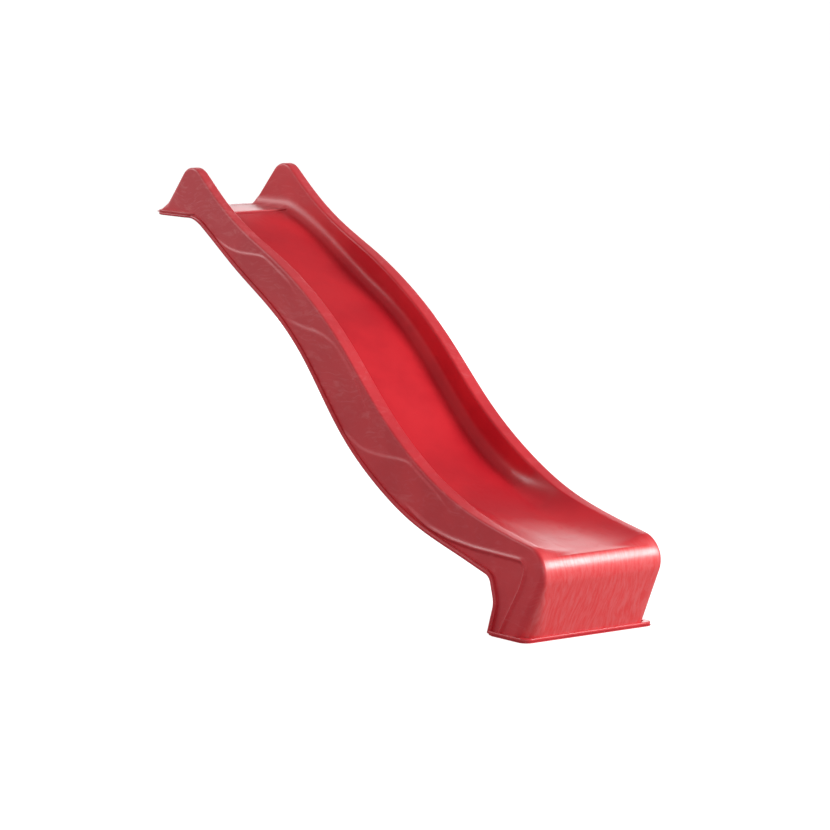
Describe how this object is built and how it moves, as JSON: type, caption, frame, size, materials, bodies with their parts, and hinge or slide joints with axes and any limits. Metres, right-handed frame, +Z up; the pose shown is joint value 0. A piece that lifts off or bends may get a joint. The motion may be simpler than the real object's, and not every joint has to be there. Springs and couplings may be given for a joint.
{
  "type": "wave slide",
  "caption": "Wavy playground slide in red plastic: hollow chute with raised sides, hook-on lip at the platform and a wide foot.",
  "frame": {"origin": "on the ground plane, in the middle of the slide's box", "axes": "+X downhill from the platform to the foot, Y across the chute, +Z up"},
  "size_m": [2.1982, 0.524, 1.3624],
  "materials": {
    "red_polyethylene": "satin, faintly hazed",
    "plug_plastic": "matt"
  },
  "bodies": {
    "root": {"chute_shell": "red_polyethylene", "under_shell": "red_polyethylene", "vent_plugs": "plug_plastic"}
  },
  "joints": []
}
